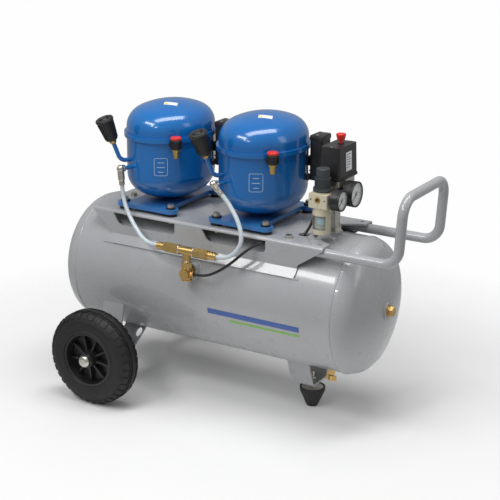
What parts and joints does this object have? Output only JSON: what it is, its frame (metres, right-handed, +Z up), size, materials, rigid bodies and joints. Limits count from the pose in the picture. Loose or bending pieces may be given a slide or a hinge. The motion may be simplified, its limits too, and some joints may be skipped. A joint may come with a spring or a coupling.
{
  "type": "air compressor",
  "caption": "Portable oil-lubricated air compressor: two sealed motor-compressors on a horizontal wheeled receiver.",
  "frame": {"origin": "bottom centre of the whole object's box, on the floor", "axes": "+X along the receiver towards the handle, +Y across it towards the rear, +Z up"},
  "size_m": [0.862, 0.566, 0.651],
  "materials": {
    "tank_paint": "gloss",
    "shell_blue": "gloss",
    "base_blue": "gloss",
    "zinc": "satin",
    "brass": "satin",
    "nickel": "satin",
    "black_plastic": "matte",
    "switch_black": "satin",
    "red_plastic": "gloss",
    "ivory_paint": "satin",
    "knob_grey": "matte",
    "bowl_clear": "gloss",
    "element": "matte",
    "hose_milky": "satin",
    "black_rubber": "matte",
    "tyre_rubber": "matte",
    "cast_iron": "matte",
    "steel": "satin",
    "gauge_glass": "gloss",
    "aluminium_parts": "satin"
  },
  "bodies": {
    "root": {"tank_shell": "tank_paint", "tank_heads": "tank_paint", "tank_sockets": "tank_paint", "end_plug": "brass", "drain_body": "brass", "saddle": "tank_paint", "handle": "tank_paint", "wheel_brackets": "tank_paint", "stub_axles": "zinc", "hub_caps": "zinc", "foot_bracket": "tank_paint", "foot_rubber": "black_rubber", "base_plates": "base_blue", "grommets": "black_rubber", "fasteners": "zinc", "lower_shell_left": "shell_blue", "lower_shell_right": "shell_blue", "upper_shell_left": "shell_blue", "upper_shell_right": "shell_blue", "start_boxes": "black_plastic", "shell_pipes": "shell_blue", "shell_fittings": "brass", "suction_filters": "black_plastic", "oil_collars": "black_plastic", "oil_caps": "red_plastic", "stators": "steel", "suspension_springs": "steel", "cylinder_blocks": "cast_iron", "discharge_elbows": "nickel", "hose_left": "hose_milky", "hose_right": "hose_milky", "tee": "brass", "check_valves": "brass", "inlet_valve": "brass", "unloader_tube": "hose_milky", "riser_pipe": "zinc", "manifold": "zinc", "safety_valve": "brass", "switch_base": "zinc", "switch_cover": "switch_black", "gauge_cases": "black_plastic", "gauge_glasses": "gauge_glass", "regulator_body": "ivory_paint", "filter_bowl": "bowl_clear", "bowl_guard": "ivory_paint", "filter_element": "element"},
    "wheel_front": {"rim_front": "black_plastic", "tyre_front": "tyre_rubber"},
    "wheel_rear": {"rim_rear": "black_plastic", "tyre_rear": "tyre_rubber"},
    "shaft_left": {"crankshaft_left": "steel"},
    "shaft_right": {"crankshaft_right": "steel"},
    "pump_piston_left": {"piston_left": "aluminium_parts"},
    "pump_piston_right": {"piston_right": "aluminium_parts"},
    "power_knob": {"switch_knob": "red_plastic"},
    "pressure_screw": {"adjusting_screw": "steel"},
    "pressure_knob": {"regulator_knob": "knob_grey"},
    "tank_needle": {"needle_large": "black_plastic"},
    "outlet_needle": {"needle_small": "black_plastic"},
    "drain": {"drain_screw": "brass"}
  },
  "joints": [
    {"name": "wheel_front_spin", "type": "hinge", "parent": "root", "child": "wheel_front", "pos_m": [-0.25, -0.2385, 0.108], "axis": [0, 1, 0], "continuous": true},
    {"name": "wheel_rear_spin", "type": "hinge", "parent": "root", "child": "wheel_rear", "pos_m": [-0.25, 0.2385, 0.108], "axis": [0, 1, 0], "continuous": true},
    {"name": "shaft_left_turn", "type": "hinge", "parent": "root", "child": "shaft_left", "pos_m": [-0.2035, 0.005, 0.5], "axis": [0, 0, 1], "continuous": true},
    {"name": "shaft_right_turn", "type": "hinge", "parent": "root", "child": "shaft_right", "pos_m": [0.0375, 0.005, 0.5], "axis": [0, 0, 1], "continuous": true},
    {"name": "piston_left_stroke", "type": "slide", "parent": "root", "child": "pump_piston_left", "axis": [1, 0, 0], "range_m": [-0.009, 0.009]},
    {"name": "piston_right_stroke", "type": "slide", "parent": "root", "child": "pump_piston_right", "axis": [1, 0, 0], "range_m": [-0.009, 0.009]},
    {"name": "power_knob_press", "type": "slide", "parent": "root", "child": "power_knob", "axis": [0, 0, 1], "range_m": [-0.006, 0]},
    {"name": "pressure_turn", "type": "hinge", "parent": "root", "child": "pressure_screw", "pos_m": [0.215, -0.057, 0.52], "axis": [0, 0, 1], "range_deg": [-540, 540]},
    {"name": "pressure_knob_lift", "type": "slide", "parent": "pressure_screw", "child": "pressure_knob", "axis": [0, 0, 1], "range_m": [0, 0.003]},
    {"name": "tank_needle_swing", "type": "hinge", "parent": "root", "child": "tank_needle", "pos_m": [0.262, 0.005, 0.501], "axis": [-1, 0, 0], "range_deg": [0, 270], "stiffness_Nm_per_rad": 0.0004},
    {"name": "outlet_needle_swing", "type": "hinge", "parent": "root", "child": "outlet_needle", "pos_m": [0.26, -0.057, 0.501], "axis": [-1, 0, 0], "range_deg": [0, 270], "stiffness_Nm_per_rad": 0.0004},
    {"name": "drain_turn", "type": "hinge", "parent": "root", "child": "drain", "pos_m": [0.219, 0, 0.09], "axis": [0, 0, 1], "range_deg": [0, 720]}
  ]
}
